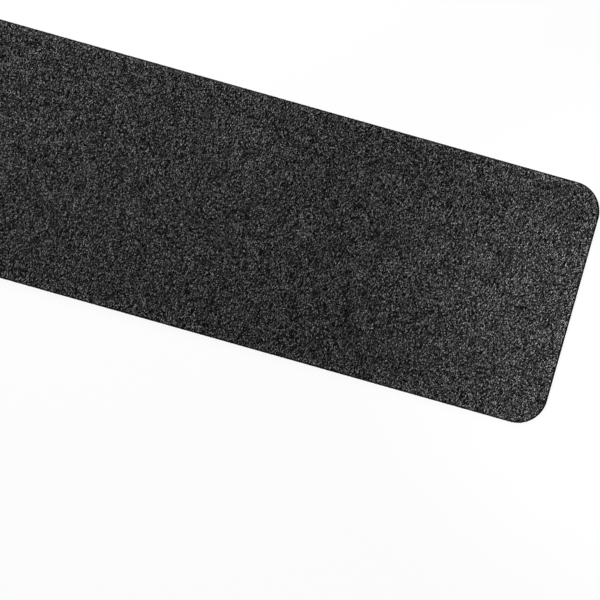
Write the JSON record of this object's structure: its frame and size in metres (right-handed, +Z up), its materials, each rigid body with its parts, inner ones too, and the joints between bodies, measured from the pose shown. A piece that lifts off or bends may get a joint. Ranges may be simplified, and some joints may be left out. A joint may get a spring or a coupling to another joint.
{
  "type": "anti slip stair tread mat",
  "caption": "Flat rectangular felt mat with round corners and a self-adhesive underside, laid on a stair tread to stop feet slipping.",
  "frame": {"origin": "middle of the underside, on the surface that the mat lies on", "axes": "+X along the length of the mat, +Y across its width, +Z up out of the felt"},
  "size_m": [0.65, 0.2, 0.0049],
  "materials": {
    "needle_felt": "needle-punched felt in mixed black, charcoal and grey fibres",
    "adhesive": "smooth white non-slip adhesive",
    "clear_film": "thin clear release film, lightly creased"
  },
  "bodies": {
    "root": {"felt_tread": "needle_felt", "adhesive_backing": "adhesive", "release_film": "clear_film"}
  },
  "joints": []
}
